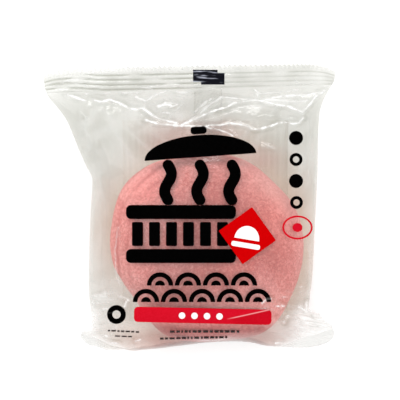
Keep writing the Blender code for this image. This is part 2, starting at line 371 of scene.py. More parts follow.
def from_middle(x, y):
    """How far a point of a row lies from its middle: 0 there, and 1 at the film's side edges."""
    left, right = curve(LEFT_EDGE, y), curve(RIGHT_EDGE, y)
    return np.clip(np.abs(2 * (x - left) / (right - left) - 1), 0, 1)


def base_front(x, y):
    """Height of the front film without its fine creases, from row positions, and how free it hangs."""
    side = curve(SIDE_HEIGHT, y)
    arch = round_off(from_middle(x, y), TOP_ROUND)
    free = side + HALF_EDGE + (curve(CROWN, y) - side - HALF_EDGE) * arch
    plan_y = y + row_shift(x, y)
    fold = np.zeros(np.shape(x))
    for height, reach, points in FOLDS:
        fold = np.maximum(fold, ridge(line_distance(x, plan_y, points), height, reach, FOLD_BLUNT))
    free = free + fold * ease(FOLD_FADE * arch)
    over = bun_top(x, plan_y) + FILM_GAP
    z = np.where(over > BUN_WAIST + FILM_GAP, soft_max(free, over), free)
    hang = ease((free - over + 0.6) / 2.4) * ease(FOLD_FADE * arch)
    return z + seal_lift(x, y), hang


def row_of(x, plan_y):
    """The row position of a point of the plan, kept between the two seal lines."""
    y = np.clip(plan_y, SEAL_LINE_BOTTOM, SEAL_LINE_TOP)
    for _ in range(ROW_ROUNDS):
        y = np.clip(plan_y - row_shift(x, y), SEAL_LINE_BOTTOM, SEAL_LINE_TOP)
    return y


def seal_out(x, plan_y):
    """How far beyond the upper seal line a point of the plan lies."""
    lean = ((CUT_TILT - SEAL_TILT) * x + curve(CUT_EDGE, x)) / SEAL_DEPTH
    return (plan_y - SEAL_LINE_TOP - SEAL_TILT * x) / (1 + lean)


def upper_seal_height(x, out):
    z = curve(SIDE_HEIGHT, SEAL_LINE_TOP) - UPPER_SEAL_DROOP * out + curve(UPPER_SEAL_LIFT, x)
    return z + ribs(x, out, 5)


def with_seal(x, y, body):
    """The body's height, or the upper seal's at points beyond its line."""
    out = seal_out(x, y)
    return np.where(out > 0, upper_seal_height(x, np.maximum(out, 0)), body)


def smooth_height(x, y):
    """Height of the front film over a point of the plan, without its fine creases."""
    return with_seal(x, y, base_front(x, row_of(x, y))[0])


def at_pixels(points):
    """Where on the front film the camera sees these photograph pixels, as points of the plan."""
    px, py = np.array(points, float).T
    z = np.full(len(px), FIRST_HEIGHT)
    for _ in range(PIXEL_ROUNDS):
        scale = (CAMERA[2] - z) / FOCAL_PIXELS
        x = CAMERA[0] + (px - PICTURE / 2) * scale
        y = CAMERA[1] - (py - PICTURE / 2) * scale
        z = smooth_height(x, y)
    return np.column_stack([x, y])


CREASE_PATHS = [(h, r, w, at_pixels(points)) for h, r, w, points in CREASES]
# Crinkled lower corners: middle, half sizes
CORNERS = [((46.0, -42.0), (14.0, 14.0)), ((-34.0, -44.0), (15.0, 15.0))]
# Patches of painted shade on the front film, where it looks grey: middle, half sizes, depth of shade
SHADE_PATCHES = [
    ((29.0, 35.8), (8.0, 2.8), 0.36),
    ((12.6, 44.3), (1.8, 0.8), 0.45),
    ((-27.0, -48.6), (8.0, 3.2), 0.30),
]
# Its broad bright bands of painted highlight: middle, half sizes, whiteness
BANDS = [
    ((39.0, 41.9), (10.5, 2.2), 0.85),
    ((-32.0, -34.6), (6.5, 1.6), 0.45),
    ((44.5, 36.0), (4.5, 3.5), 0.30),
    ((-11.0, 42.6), (5.0, 1.8), 0.35),
    ((33.0, 41.6), (12.0, 1.6), 0.60),
]
# The two pinched lower corners
EAR_LEFT = -32.0
EAR_RIGHT = 36.5
EAR_TOP = -35.5
# Where the soft streaks below the upper seal come together
STREAK_ENDS = [(-60.0, 62.0), (60.0, 62.0)]
MIDDLE = 6.0              # the pack's middle, from which its sides are told apart


def ear(x, y):
    """How far into one of the two pinched lower corners a point of the plan lies."""
    beyond = np.maximum(x - EAR_RIGHT, EAR_LEFT - x)
    return ease(beyond / 8.0) * ease((EAR_TOP - y) / 6.0)


# Each function down to crinkles gives the height, painted whiteness and painted shade that one kind of
# wrinkle adds


def crease_lines(x, y):
    """The fine creases: their relief, a whitened line along each that is mostly painted highlight and partly
    stress whitening, painted glints, and a painted shade flank.
    """
    jagged = 0.24 * noise(x / 0.9, y / 0.9, 14)
    line = CREASE_LINE * (1.05 + 0.60 * noise(x / 2.8, y / 2.8, 15))
    # sparkle: painted glints near the creases
    sparkle = ease(3.0 * noise(x / 0.8, y / 0.6, 16) - 1.5)
    high = white = shade = np.zeros(np.shape(x))
    for height, reach, pale, points in CREASE_PATHS:
        near = line_distance(x, y, points)
        wide = line * (0.6 + 0.45 * reach)
        high = np.maximum(high, ridge(near, height, reach, CREASE_BLUNT))
        white = np.maximum(white, pale * bell((near + jagged) / wide))
        white = np.maximum(white, 0.55 * pale * bell(near / 1.6) * sparkle)
        shade = np.maximum(shade, pale * bell((near - SHADE_OFF) / SHADE_WIDE))
    white = white * (0.50 + 0.50 * ease(0.80 + 0.80 * noise(x / 1.9, y / 1.9, 11)))
    return high, white, 0.42 * shade * ease(0.5 + 0.9 * noise(x / 3.1, y / 3.1, 12))


def bright_bands(x, y):
    """Painted highlights in broad bright bands, and a patch of painted light beside the bun's lower left."""
    white = 0.20 * spot(x, y, (-29.0, -33.5), (8.0, 5.5)) * (1 + 0.5 * noise(x / 1.8, y / 4.0, 44))
    grain = 0.75 + 0.5 * noise(x / 3.0, y / 0.9, 17)
    for middle, sizes, bright in BANDS:
        white = np.maximum(white, bright * flat_spot(x, y, middle, sizes) * grain)
    return 0.0, white, 0.0


def seal_streaks(x, y):
    """Long soft streaks of painted highlight, which also lighten the film, fanning out from the two ends of
    the upper seal.
    """
    white = shade = np.zeros(np.shape(x))
    for end, top in STREAK_ENDS:
        turn = np.degrees(np.arctan2(y - top, np.abs(x - end) + 1e-6))
        reach = np.hypot(x - end, y - top)
        fan = ridged(turn / 5.5, reach / 30.0, 63) * ease((75.0 - reach) / 20.0) * ease((y + 8.0) / 20.0)
        white = np.maximum(white, 0.24 * fan**2)
        shade = shade - 0.10 * fan
    return 0.0, white, shade


def gathers(x, y):
    """Gathers that run down from the upper seal, with painted highlights on their ridges."""
    gather = ridged(x / 3.4, y / 16.0, 21) * ease((y - 34.0) / 8.0)
    return 0.30 * gather, 0.30 * gather**3, 0.0


def pleats(x, y):
    """Short pleats right below the upper seal, with painted highlights and painted shade."""
    pleat = ridged(x / 1.5, y / 6.0, 22) * bell((y - 43.6 - SEAL_TILT * x) / 2.4)
    pleat = pleat * ease(0.6 + noise(x / 6.0, y / 6.0, 23))
    dark = ridged(x / 1.5 + 0.37, y / 6.0, 22) ** 2 * (pleat > 0.02)
    return 0.22 * pleat, 0.62 * pleat**2, 0.22 * dark


def slack_film(x, y):
    """Slack between the bun and the side folds."""
    high = noise(x / 9.0, y / 13.0, 31) * 0.45 + noise(x / 4.5, y / 7.0, 32) * 0.16
    return high * ease((SEAL_LINE_TOP - 1.0 - y) / 6.0), 0.0, 0.0


def side_streaks(x, y):
    """Upright streaks at both sides of the bun: a little relief, painted highlights and painted shade."""
    east = ridged(x / 2.6, y / 22.0, 41) * ease((x - 42.0) / 4.0)
    west = ridged(x / 2.9, y / 17.0 + 0.12 * x, 42) * ease((-27.0 - x) / 5.0)
    streak = np.maximum(east, 0.70 * west)
    dark = ridged(x / 3.1 + 0.4, y / 19.0, 43) ** 2 * ease((np.abs(x - MIDDLE) - 33.0) / 6.0)
    return 0.18 * streak, 0.38 * streak**2, 0.16 * dark


def crinkles(x, y):
    """Crinkles at the two lower corners, with painted glints and painted shade."""
    level = (y + 0.20 * np.abs(x - MIDDLE)) / 2.3 + 0.5 * noise(x / 5.0, y / 5.0, 57)
    crinkle = ridged(x / 8.0, level, 51)
    glint = ease(2.2 * noise(x / 2.1, y / 0.9 + 0.25 * x, 52) - 0.55)
    dark = ridged(x / 5.0 + 3.0, y / 1.5 + x / 9.0, 53) ** 2
    near = [spot(x, y, middle, sizes) for middle, sizes in CORNERS]
    white = (0.42 * crinkle**2 + 0.70 * glint * crinkle) * np.maximum(*near)
    return (0.50 * crinkle + 0.25 * glint) * sum(near), white, 0.36 * dark * sum(near)


def haze(x, y):
    """Whiteness of the milky haze over the bun's lower edge, and a thin painted light over its upper right.
    """
    turn = bun_turn(x, y)
    milky = bell((bun_away(x, y) - 0.985) / 0.050) * bell((turn + 95.0) / 62.0, 4)
    milky = milky * (1 - 0.75 * bell((turn + 96.0) / 24.0))
    milky = 0.26 * milky * (1 + 0.4 * noise(x / 4.0, y / 2.0, 18))
    return np.maximum(milky, 0.13 * spot(x, y, (27.0, 8.0), (8.0, 9.0)))


def crease_relief(x, y, hang):
    """Height, whiteness and painted shade that all creases and wrinkles add at points of the plan; the
    whiteness is mostly painted highlights.
    """
    high, white, shade = crease_lines(x, y)
    # flat facets, some with a little painted light and some with a little painted shade
    warp = 0.7 * noise(x / 6.0, y / 6.0, 62)
    facet = ease(0.5 + 2.6 * noise(x / 6.5 + warp, y / 3.4 - 0.10 * x + warp, 61))
    zone = np.maximum(ease((y - 26.0) / 5.0), 0.6 * ease((np.abs(x - MIDDLE) - 34.0) / 6.0)) * hang
    white = np.maximum(white, 0.17 * (1 - facet) * zone)
    shade = shade + 0.28 * (facet - 0.5) * zone + 0.10 * noise(x / 6.5, y / 8.0, 13) * hang
    # patches of painted shade, which also dim faint painted highlights
    for middle, sizes, deep in SHADE_PATCHES:
        shade_patch = flat_spot(x, y, middle, sizes) * hang
        shade = shade + deep * shade_patch
        white = np.where(white < 0.3, white * (1 - 0.8 * shade_patch), white)
    white = np.maximum(white, haze(x, y))
    for wrinkle in (bright_bands, seal_streaks, gathers, pleats, slack_film, side_streaks, crinkles):
        more_high, more_white, more_shade = wrinkle(x, y)
        high = high + more_high * hang
        white = np.maximum(white, more_white * hang)
        shade = shade + more_shade * hang
    # fans of fine pleats in the two pinched corners, painted light with lines of painted shade
    ears = ear(x, y)
    level = (y + 0.22 * np.abs(x - MIDDLE)) / 0.95
    fan = ridged(x / 8.0, level, 55)
    dark = ridged(x / 8.0 + 0.5, level + 0.5, 56) ** 3
    high = high + 0.20 * fan * ears
    white = np.maximum(white, (0.55 + 0.35 * fan**2) * ears) * (1 - 0.55 * dark * ears)
    return high, white, shade + (0.55 * dark - 0.12) * ears


def below_seal(row):
    """From 0 at the upper seal line to 1 where the creases are at their full height."""
    return ease((SEAL_LINE_TOP - row) / BELOW_SEAL)


def front_height(x, y):
    """Height of the finished front film over points of the plan."""
    row = row_of(x, y)
    z, hang = base_front(x, row)
    return with_seal(x, y, z + crease_relief(x, y, hang)[0] * below_seal(row))


# The film, as rows of points from the upper cut edge to the lower one


def body_stations():
    """Row positions down the body, closer together where the film is creased."""
    y = np.linspace(SEAL_LINE_TOP, SEAL_LINE_BOTTOM, CROWN_SAMPLES)
    length = np.hypot(np.diff(y), np.diff(curve(CROWN, y)))
    length = length * np.where(y[1:] > DENSE_FROM, DENSE_GAIN, 1.0)
    run = np.concatenate([[0], np.cumsum(length)])
    return np.interp(np.linspace(0, run[-1], BODY_ROWS + 1), run, y)


def columns(left, right):
    t = np.linspace(-1, 1, COLUMNS + 1)
    u = (1 - COLUMN_EASE) * t + COLUMN_EASE * np.sin(t * math.pi / 2)
    return left + (right - left) * (u + 1) / 2


def body_row(y, front):
    """One row of the body: place, height, whiteness and shade of its points."""
    x = columns(curve(LEFT_EDGE, y), curve(RIGHT_EDGE, y))
    row = np.full(len(x), y)
    plan_y = row + row_shift(x, row)
    if front:
        z, hang = base_front(x, row)
        high, white, shade = (part * below_seal(row) for part in crease_relief(x, plan_y, hang))
        shade = FRONT_SHADE + shade + 0.30 * crown_glow(x, plan_y)
        return np.column_stack([x, plan_y, z + high, white, shade])
    z, arch = back_form(x, row, HALF_EDGE)
    rumple = 0.16 * arch * (1 + noise(x / 7.0, plan_y / 9.0, 61))
    z = soft_max(z, BACK_LIFT + rumple, BACK_BLEND)
    return np.column_stack([x, plan_y, z, np.zeros(len(x)), back_shade(x, row)])


def back_form(x, row, edge=0.0):
    """Height of the back film where nothing holds it up, and how far it arches down."""
    side = curve(SIDE_HEIGHT, row) - edge
    arch = round_off(from_middle(x, row), BACK_ROUND)
    return side + (curve(KEEL, row) - side) * arch + seal_lift(x, row), arch


def back_shade(x, y):
    """How dense the back sheet looks, film tint with painted shade: most behind the contents, where their
    shadow falls, least at the sides and both ends.
    """
    middle = ease((1.0 - from_middle(x, y)) / 0.06)
    upper = ease((SEAL_LINE_TOP - y) / 9.0)
    lower = np.maximum(ease((y - SEAL_LINE_BOTTOM) / 16.0), 0.95 * bell((x - 4.0) / 28.0, 4))
    near = (0.96 + 0.04 * middle) * (0.66 + 0.34 * upper) * (0.42 + 0.58 * lower)
    near = near * (1 + 0.10 * bell((y + 8.0) / 24.0)) * (1 - 0.13 * south_west(x, y))
    for place, sizes, powers, part in BACK_LIT_PATCHES:
        near = near * (1 - part * spot(x, y, place, sizes, powers))
    dense = BACK_SHADE * near * (1 - 0.85 * ear(x, y))
    return dense + 0.22 * gathered(x, y + row_shift(x, y))


def leftward(x):
    """1 on the left part of a seal, where its crimp shows best, and 0 on the right part."""
    return ease((22.0 - x) / 20.0)


def seal_shade(x, out, seed):
    """Film density of a seal, with painted shade in dark lines between the ribs, strongest toward the left.
    """
    line = 0.5 + 0.5 * np.cos(rib_turn(x, out))
    worn = ease(0.70 + 0.75 * noise(x / 7.0, out / 1.8, seed))
    strong = 0.20 + 0.80 * ease((16.0 - x) / 24.0)
    cloud = 0.16 * noise(x / 5.0, out / 4.0, seed + 1)
    bare = 0.40 * leftward(x) * ease((out - RIB_END) / 0.8)
    lines = 1.9 * strong * worn * line**5 * on_ribs(out, RIB_END + 0.4)
    return (0.36 + 0.06 * leftward(x) + cloud) * (1 - bare) + lines


def seal_white(x, out, seed):
    """Painted glints: short flat streaks on the ribs, and the whitened teeth of the cut edge."""
    streak = ridged(x / 9.0, out / 0.8, seed) ** 4 * ease(0.2 + noise(x / 14.0, out / 5.0, seed + 1))
    middle = spot(x, out, (-8.0, 2.2), (15.0, 2.6))
    left = 0.35 + 0.65 * leftward(x)
    grain = ease(1.6 * noise(x / 0.7, out / 0.7, seed + 2) - 0.4) * ease((out - RIB_END + 1.0) / 1.5)
    teeth = 0.10 * ease(out - RIB_END) + 0.45 * grain
    beside = np.maximum(np.cos(rib_turn(x, out) - 2.1), 0) ** 6 * on_ribs(out)
    beside = 0.85 * beside * left * ease(1.5 * noise(x / 8.0, out / 1.8, seed + 9))
    glints = np.maximum((0.75 + 0.55 * middle) * streak, beside)
    return np.clip(glints + teeth * left, 0, 1)


def tooth_cut(count, out):
    """How far the toothed cut edge is set back at each point of a row."""
    half = TOOTH_POINTS / 2
    tooth = np.abs((np.arange(count) % TOOTH_POINTS) - half) / half
    return TOOTH_DEPTH * tooth * ease((out - SEAL_DEPTH + 1.5) / 1.5)


def upper_seal_row(out, front):
    """One row of the upper seal, out millimetres beyond its line."""
    part_out = out / SEAL_DEPTH
    left = curve(LEFT_EDGE, SEAL_LINE_TOP) - curve(UPPER_SEAL_LEFT, out)
    right = curve(RIGHT_EDGE, SEAL_LINE_TOP) + curve(UPPER_SEAL_RIGHT, out)
    x = columns(left, right)
    tilt = SEAL_TILT + (CUT_TILT - SEAL_TILT) * part_out
    y = SEAL_LINE_TOP + out + tilt * x + curve(CUT_EDGE, x) * part_out - tooth_cut(len(x), out)
    z = upper_seal_height(x, out) + (HALF_EDGE if front else -HALF_EDGE)
    at = np.full(len(x), out)
    white = seal_white(x, at, 71) * front
    return np.column_stack([x, y, z, white, seal_shade(x, at, 74)])


def lower_seal_row(out, front):
    """One row of the lower seal, which is folded down and splayed at its ends."""
    left = curve(LEFT_EDGE, SEAL_LINE_BOTTOM) - curve(LOWER_SEAL_LEFT, out)
    right = curve(RIGHT_EDGE, SEAL_LINE_BOTTOM) + curve(LOWER_SEAL_RIGHT, out)
    x = columns(left, right)
    fold = np.radians(curve(LOWER_SEAL_FOLD, x))
    crumple = 0.35 * noise(x / 3.0, out / 4.0, 81) * ease(out / 3.0)
    half = (HALF_EDGE if front else -HALF_EDGE) + ribs(x, out, 6) + crumple
    along = out - tooth_cut(len(x), out)
    y = SEAL_LINE_BOTTOM + row_shift(x, np.full(len(x), SEAL_LINE_BOTTOM))
    y = y - along * np.cos(fold) - half * np.sin(fold)
    z = curve(SIDE_HEIGHT, SEAL_LINE_BOTTOM) - along * np.sin(fold) + half * np.cos(fold)
    ends = ease(np.maximum(x - EAR_RIGHT, EAR_LEFT - x) / 6.0)
    # painted glints on the folded seal, and painted light on the two pinched corners, which get less shade
    # too
    white = np.maximum(0.40 * ridged(x / 2.4, out / 1.6, 82) ** 3 * front, 0.62 * ends)
    shade = (0.55 - 0.45 * ends) * seal_shade(x, np.full(len(x), out), 84)
    return np.column_stack([x, y, z, white, shade])


def sheet(front):
    seal = SEAL_DEPTH * np.arange(1, SEAL_ROWS + 1) / SEAL_ROWS
    rows = [upper_seal_row(out, front) for out in seal[::-1]]
    rows += [body_row(y, front) for y in body_stations()]
    rows += [lower_seal_row(out, front) for out in seal]
    return np.array(rows)


def border(grid):
    """The points round a grid's edge, in order, starting at its first."""
    return np.concatenate([grid[0, :-1], grid[:-1, -1], grid[-1, :0:-1], grid[:0:-1, 0]])


def grid_faces(index):
    a, b, c, d = index[:-1, :-1], index[1:, :-1], index[1:, 1:], index[:-1, 1:]
    return np.stack([a, b, c, d], axis=-1).reshape(-1, 4).tolist()


def make_object(name, points, faces, material, sharp=None):
    """A smooth object from points in millimetres, with edges sharper than an angle kept sharp."""
    mesh = bpy.data.meshes.new(name)
    mesh.from_pydata((np.asarray(points)[:, :3] * MM).tolist(), [], faces)
    mesh.validate()
    mesh.shade_smooth()
    if sharp:
        mesh.set_sharp_from_angle(angle=math.radians(sharp))
    mesh.materials.append(material)
    made = bpy.data.objects.new(name, mesh)
    bpy.context.scene.collection.objects.link(made)
    return made


def add_attributes(piece, **attributes):
    """Values that the piece's material reads, one to each of its points."""
    for name, values in attributes.items():
        layer = piece.data.attributes.new(name, "FLOAT", "POINT")
        layer.data.foreach_set("value", np.asarray(values, float))


def south_west(x, y):
    """The side of the bun towards the lower left, where the film gets painted light."""
    return bell(turn_off(bun_turn(x, y), -150.0) / 31.0)


def crown_glow(x, y):
    """Painted reflection of the bun's colour in the film above it; the front sheet there also gets painted
    shade.
    """
    return 0.60 * spot(x, y, (1.0, 27.0), (19.0, 6.5), (4, 4))


def east_glow(x, y):
    """Painted reflection of the bun's colour in the film beyond its upper right."""
    return 0.55 * spot(x, y, (27.0, 19.0), (9.0, 4.5))


def blush(x, y):
    """How much painted reflection of the bun's colour the film near it takes on."""
    along, away = bun_place(x, y)
    reach = BUN_REFLECTION_REACH[0] + (BUN_REFLECTION_REACH[1] - BUN_REFLECTION_REACH[0]) * (along / (away + 1e-6)) ** 2
    beyond = np.maximum(away - 1.0, 0)
    near = 0.72 * bell(beyond / reach) + 0.28 * bell(beyond / 0.07)
    near = near * (1 - 0.62 * south_west(x, y))
    return np.maximum(near, 0.9 * ease((-42.0 - y) / 4.0) * bell((x - 1.0) / 30.0, 4))


def above_lower_seal(x, y):
    return y - SEAL_LINE_BOTTOM - curve(LOWER_WAVE, x)


def underside(x, y):
    """Painted shade on the drawn-in back sheet below the bun, where the bun's underside would shade it."""
    above = above_lower_seal(x, y)
    zone = bell((x - 9.0) / 22.0, 4) * ease((10.0 - above) / 6.0) * ease((above + 2.5) / 2.5)
    return zone * ease((bun_away(x, y) - 0.86) / 0.04)


def gathered(x, y):
    """How much of the bun's colour is painted on the film: the bun's underside, with painted shade, along
    the drawn-in lower edge, and painted reflections of the bun above it.
    """
    above = above_lower_seal(x, y)
    wide = 0.95 * bell((x - 7.0) / 30.0, 4) * ease((9.5 - above) / 7.0)
    edge = spot(x, above, (-8.0, 0.8), (13.0, 1.6))
    foot = 0.60 * bell(np.maximum(bun_away(x, y) - 1.0, 0) / 0.06) * ease((-40.0 - y) / 5.0)
    return np.maximum.reduce([wide, edge, foot, crown_glow(x, y), east_glow(x, y)])


def make_film(material):
    """The film tube as one closed surface: a fine front, a back of half the points, and its edges."""
    front = sheet(True)
    back = sheet(False)[::2, ::2]
    front_index = np.arange(front.shape[0] * front.shape[1]).reshape(front.shape[:2])
    back_index = front_index.size + np.arange(back.shape[0] * back.shape[1]).reshape(back.shape[:2])
    faces = grid_faces(front_index) + [f[::-1] for f in grid_faces(back_index)]
    fine, coarse = border(front_index), border(back_index)
    for k in range(len(coarse)):
        b0, b1 = int(coarse[k]), int(coarse[(k + 1) % len(coarse)])
        f0, f1, f2 = (int(fine[(2 * k + n) % len(fine)]) for n in range(3))
        faces += [(b0, f0, f1), (b0, f1, b1), (b1, f1, f2)]
    points = np.concatenate([side.reshape(-1, side.shape[2]) for side in (front, back)])
    film = make_object("film", points, faces, material, sharp=75)
    x, y, _, white, shade = points.T
    # painted shade on the back sheet below the bun, and none on the front
    deep = underside(x, y)
    deep[:front_index.size] = 0
    add_attributes(
        film, crease=white, shade=np.clip(shade, 0, 1), blush=blush(x, y), gathered=gathered(x, y), deep=deep
    )
    return film


def back_height(x, y):
    """Height of the back film over a point of the plan."""
    return soft_max(back_form(x, row_of(x, y))[0], BACK_LIFT, BACK_BLEND)


# The long seam on the back, folded flat to one side

FIN_LEFT, FIN_RIGHT = 1.8, 12.8
FIN_TOP, FIN_BOTTOM = 0.10, 0.26      # its two faces, below the back film
FIN_PITCH = 0.9                       # pitch of faint stripes of painted shade across it, for fine grooves
FIN_EDGE = 0.6                        # width of its edges, which get a faint painted highlight
FIN_SHORT = (0.4, 2.0)                # how far its ends stay inside the two seal lines
FIN_COLUMNS = 23
FIN_STEP = 0.45


def make_back_seam(material):
    x = np.linspace(FIN_LEFT, FIN_RIGHT, FIN_COLUMNS)
    y = np.arange(SEAL_LINE_TOP - FIN_SHORT[0], SEAL_LINE_BOTTOM + FIN_SHORT[1], -FIN_STEP)
    gx, row = np.meshgrid(x, y)
    gy = row + row_shift(gx, row)
    under = back_height(gx, gy)
    sides = [np.column_stack([gx.ravel(), gy.ravel(), (under - d).ravel()]) for d in (FIN_TOP, FIN_BOTTOM)]
    index = np.arange(gx.size).reshape(gx.shape)
    faces = grid_faces(index) + [f[::-1] for f in grid_faces(index + gx.size)]
    ring = border(index)
    for a, b in zip(ring.tolist(), np.roll(ring, -1).tolist()):
        faces.append((a, a + gx.size, b + gx.size, b))
    points = np.concatenate(sides)
    seam = make_object("back_seam", points, faces, material, sharp=60)
    x, y, _ = points.T
    # painted highlight along its edges, and faint stripes of painted shade across it
    edge = np.minimum(x - FIN_LEFT, FIN_RIGHT - x) < FIN_EDGE
    shade = 0.02 * wave(2 * math.pi * y / FIN_PITCH)
    add_attributes(seam, crease=0.05 * edge, shade=shade, blush=blush(x, y))
    return seam


# The bun

BUN_RINGS = 120
BUN_SPOKES = 240
BUN_FOOT = 0.9            # height of its underside above the surface that the pack lies on
BUN_SINK = 0.25           # its surface lies this far inside the form that carries the film
DOME_PART = 0.62          # part of the rings that the dome takes, down to the waist
WALL_PART = 0.87          # part of the others that go round under the waist to the flat foot
WALL_TURN = 1.15          # how far they turn inwards there, in quarter turns
FOOT_REACH = 0.90         # reach of the foot, as a part of the bun's radius
# Painted shade on the bun, at its darker centre, right side and lower part: how much, middle, half sizes
BUN_SHADE_SPOTS = [
    (0.54, (8.0, -5.0), (24.0, 28.0)),
    (0.55, (30.5, -21.0), (13.0, 11.0)),
    (0.70, (4.0, -37.0), (20.0, 6.0)),
]
# Redder spots: middle, half sizes
BUN_FLUSH = [((28.0, -8.0), (12.0, 21.0)), ((-14.0, 8.0), (15.0, 14.0)), ((6.0, -46.0), (15.0, 2.6))]


def bun_lumps(x, y):
    """Lumps and wrinkles of the dough in millimetres, how deep in a wrinkle, and how near the rim."""
    cx, cy = BUN_CENTRE
    away = bun_place(x, y)[1]
    turn = np.arctan2(y - cy, x - cx)
    soft = 0.14 * noise(x / 11.0, y / 11.0, 91) + 0.05 * noise(x / 3.0, y / 3.0, 92)
    rim = ease((away - 0.62) / 0.25)
    west = bell((np.abs(turn) - math.pi) / 0.8)
    north_west = bell((turn - 2.25) / 0.45)
    bands = wave(2 * math.pi * (away * 9.0 + 0.4 * noise(turn * 3, away * 3, 93)))
    spokes = wave(turn * 46.0 + 1.6 * noise(x / 6.0, y / 6.0, 94))
    groove = np.maximum(bands * west, bands * north_west) * rim
    groove = np.maximum(groove, 0.4 * spokes * rim * north_west)
    return soft - 0.35 * groove, groove**3, ease((away - 0.45) / 0.45)


def bun_ring(t):
    """Reach, as a part of the radius, and height of a ring: t runs from the top to the foot's middle."""
    if t <= DOME_PART:
        reach = math.sin(t / DOME_PART * math.pi / 2)
        return reach, BUN_WAIST + (BUN_HEIGHT - BUN_WAIST) * round_off(reach, BUN_ROUND)
    under = (t - DOME_PART) / (1 - DOME_PART)
    z = BUN_WAIST + (BUN_FOOT - BUN_WAIST) * math.sin(min(under / WALL_PART, 1.0) * math.pi / 2)
    if under < WALL_PART:
        return FOOT_REACH + (1 - FOOT_REACH) * math.cos(under * math.pi / 2 * WALL_TURN), z
    return FOOT_REACH * (1 - (under - WALL_PART) / (1 - WALL_PART)) + 0.02, z


def make_bun(material):
    cx, cy = BUN_CENTRE
    spoke = np.linspace(0, 2 * math.pi, BUN_SPOKES, endpoint=False)
    rows = [[(cx, cy, BUN_HEIGHT - BUN_SINK)]]
    for step in np.linspace(0, 1, BUN_RINGS + 1)[1:]:
        reach, z = bun_ring(step)
        rows.append(np.column_stack([
            cx + np.cos(spoke) * (BUN_RADII[0] - BUN_SINK) * reach,
            cy + np.sin(spoke) * (BUN_RADII[1] - BUN_SINK) * reach,
            np.full(BUN_SPOKES, z),
        ]))
    points = np.concatenate([np.array(row, float) for row in rows])
    x, y, z = points.T
    bulge = bun_bulge(bun_turn(x, y)) * ease((np.hypot(x - cx, y - cy) / BUN_RADII[0] - 0.55) / 0.4)
    points[:, 0] += bulge * (x - cx)
    points[:, 1] += bulge * (y - cy)
    # the lumps stand out sideways at the rim and upwards elsewhere
    lift, groove, rim = bun_lumps(x, y)
    upper = ease((z - 6.0) / 8.0)
    lift = lift * upper
    out = np.hypot(x - cx, y - cy) + 1e-9
    steep = np.clip(out / BUN_RADII[0], 0, 1) ** 3
    points[:, 0] += lift * steep * (x - cx) / out
    points[:, 1] += lift * steep * (y - cy) / out
    points[:, 2] += lift * (1 - steep)
    points[1:, 2] -= BUN_SINK * ease((z[1:] - BUN_WAIST) / 8.0)
    # it stays between the front and the back film
    points[:, 2] = np.clip(z, back_height(x, y) + BUN_SINK, front_height(x, y) + HALF_EDGE - BUN_SINK)
    ring = 1 + np.arange(BUN_RINGS * BUN_SPOKES).reshape(BUN_RINGS, BUN_SPOKES)
    closed = np.hstack([ring, ring[:, :1]])
    faces = grid_faces(closed)
    faces += [(0, int(closed[0, k]), int(closed[0, k + 1])) for k in range(BUN_SPOKES)]
    faces.append([int(v) for v in ring[-1][::-1]])
    bun = make_object("bun", points, faces, material)
    # painted shade in the shade spots and along the bottom; pale is painted light on the upper right and
    # upper left rim
    shade_spots = [part * spot(x, y, middle, sizes) for part, middle, sizes in BUN_SHADE_SPOTS]
    flush = [spot(x, y, middle, sizes) for middle, sizes in BUN_FLUSH]
    turn = bun_turn(x, y)
    pale = np.maximum(bell((turn - 34.0) / 26.0), 0.45 * bell((turn - 135.0) / 22.0))
    add_attributes(
        bun, groove=groove * upper, rim=rim, flush=np.maximum.reduce(flush),
        low=np.maximum.reduce([*shade_spots, ease((-42.0 - y) / 4.0)]),
        pale=pale * ease((bun_away(x, y) - 0.72) / 0.22),
    )
    return bun


# The clear ribbed sheet that the bun lies on

LINER_X = (-26.0, 38.6)
LINER_Y = (-44.0, 34.4)
LINER_STEPS = (0.5, 1.2)
LINER_PITCH = 2.3
LINER_RIB = 0.22          # height of its ribs
LINER_GAP = 0.34          # how far it lies above the back film
LINER_FLAT = 34.0         # radius of its round flat part under the bun


def make_liner(material):
    x = np.arange(LINER_X[0], LINER_X[1], LINER_STEPS[0])
    y = np.arange(LINER_Y[0], LINER_Y[1], LINER_STEPS[1])
    gx, gy = np.meshgrid(x, y)
    rib = wave(2 * math.pi * gx / LINER_PITCH)
    under_bun = np.hypot(gx - BUN_CENTRE[0], gy - BUN_CENTRE[1]) < LINER_FLAT
    gz = back_height(gx, gy) + LINER_GAP + np.where(under_bun, 0.0, LINER_RIB * rib)
    gz = np.where(under_bun, np.minimum(gz, BUN_FOOT - 0.12), gz)
    points = np.column_stack([gx.ravel(), gy.ravel(), gz.ravel()])
    faces = grid_faces(np.arange(gx.size).reshape(gx.shape))
    liner = make_object("liner", points, [f[::-1] for f in faces], material)
    # painted shade in the rib valleys, strongest at the sides, and along its right edge
    sides = ease((np.abs(gx - MIDDLE) - 10.0) / 12.0)
    rim = ease((gx - LINER_X[1] + 1.7) / 0.5) * ease((gy + 4.0) / 30.0)
    add_attributes(liner, rib=np.maximum(0.36 * (1 - rib) * (0.35 + 0.65 * sides), rim).ravel())
    return liner


# The print. Shapes are drawn in photograph pixels and laid on the film.

